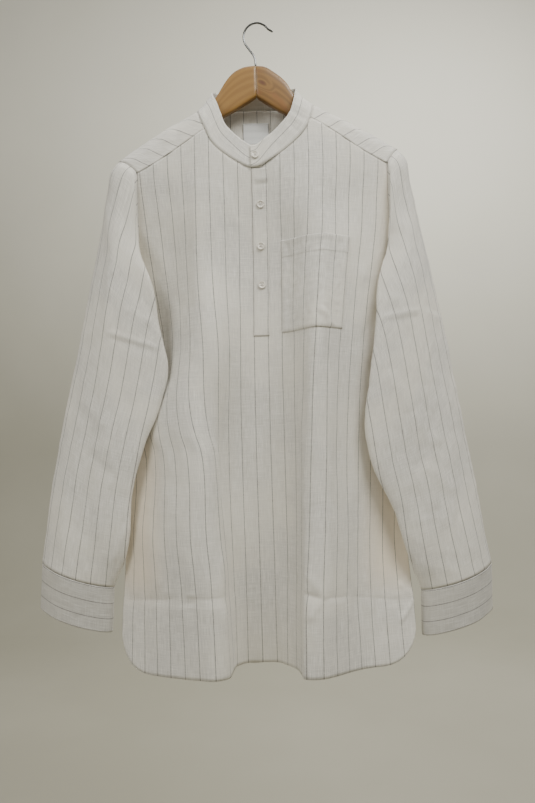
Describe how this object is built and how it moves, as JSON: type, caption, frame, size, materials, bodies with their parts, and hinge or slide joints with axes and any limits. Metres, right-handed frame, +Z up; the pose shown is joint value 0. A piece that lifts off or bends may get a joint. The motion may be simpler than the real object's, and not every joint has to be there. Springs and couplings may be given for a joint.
{
  "type": "kurta tunic on hanger",
  "caption": "Long-sleeved pinstriped kurta tunic with band collar, half placket and chest pocket, hanging closed on a plain wooden hanger with a wire hook.",
  "frame": {"origin": "where the hanger's hook hangs: the top of the wire's inner bend", "axes": "+Z up, +X to the viewer's right when the front is seen, -Y the way the front faces"},
  "size_m": [0.6477, 0.1478, 0.9555],
  "materials": {
    "cloth": "matt woven cotton with thin grey stripes",
    "label": "smooth white woven tape, bare",
    "button": "pale semi-gloss",
    "wood": "light varnish",
    "wire": "polished"
  },
  "bodies": {
    "root": {"front": "cloth", "back": "cloth", "yoke": "cloth", "sleeve_left": "cloth", "sleeve_right": "cloth", "cuff_left": "cloth", "cuff_right": "cloth", "collar_band": "cloth", "placket": "cloth", "pocket": "cloth", "label": "label", "button_collar": "button", "button_1": "button", "button_2": "button", "button_3": "button", "button_cuff_left": "button", "button_cuff_right": "button", "hanger_left": "wood", "hanger_right": "wood", "hook": "wire"}
  },
  "joints": []
}
